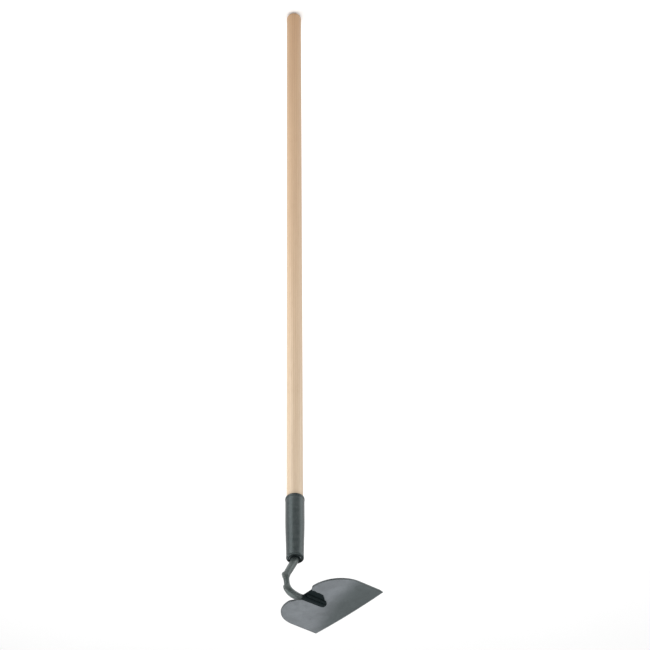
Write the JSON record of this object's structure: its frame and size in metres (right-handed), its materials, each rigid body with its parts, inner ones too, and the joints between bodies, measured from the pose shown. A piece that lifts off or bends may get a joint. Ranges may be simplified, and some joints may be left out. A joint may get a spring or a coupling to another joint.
{
  "type": "grub hoe",
  "caption": "Long-handled grub hoe: wide steel blade welded to a bent bar gooseneck in a tapered steel ferrule on a round ash handle.",
  "frame": {"origin": "on the handle's axis, where the bare wood enters the ferrule", "axes": "+Z along the handle up to the head, +Y the way the blade reaches, X across the blade; the hoe stands on the end of its handle"},
  "size_m": [0.178, 0.1798, 1.6393],
  "materials": {
    "ash_wood": "lacquered ash, straight grain",
    "ferrule_steel": "satin grey-green lacquer on drawn steel",
    "neck_steel": "satin grey lacquer on forged bar",
    "blade_steel": "satin tempered steel, worn edges",
    "scaled_steel": "weld metal with black scale",
    "screw_steel": "plain steel"
  },
  "bodies": {
    "root": {"handle": "ash_wood", "ferrule": "ferrule_steel", "ferrule_end_plug": "scaled_steel", "handle_screw": "screw_steel", "gooseneck": "neck_steel", "neck_weld": "scaled_steel", "blade": "blade_steel", "foot_weld_left": "scaled_steel", "foot_weld_right": "scaled_steel", "foot_weld_toe": "scaled_steel"}
  },
  "joints": []
}
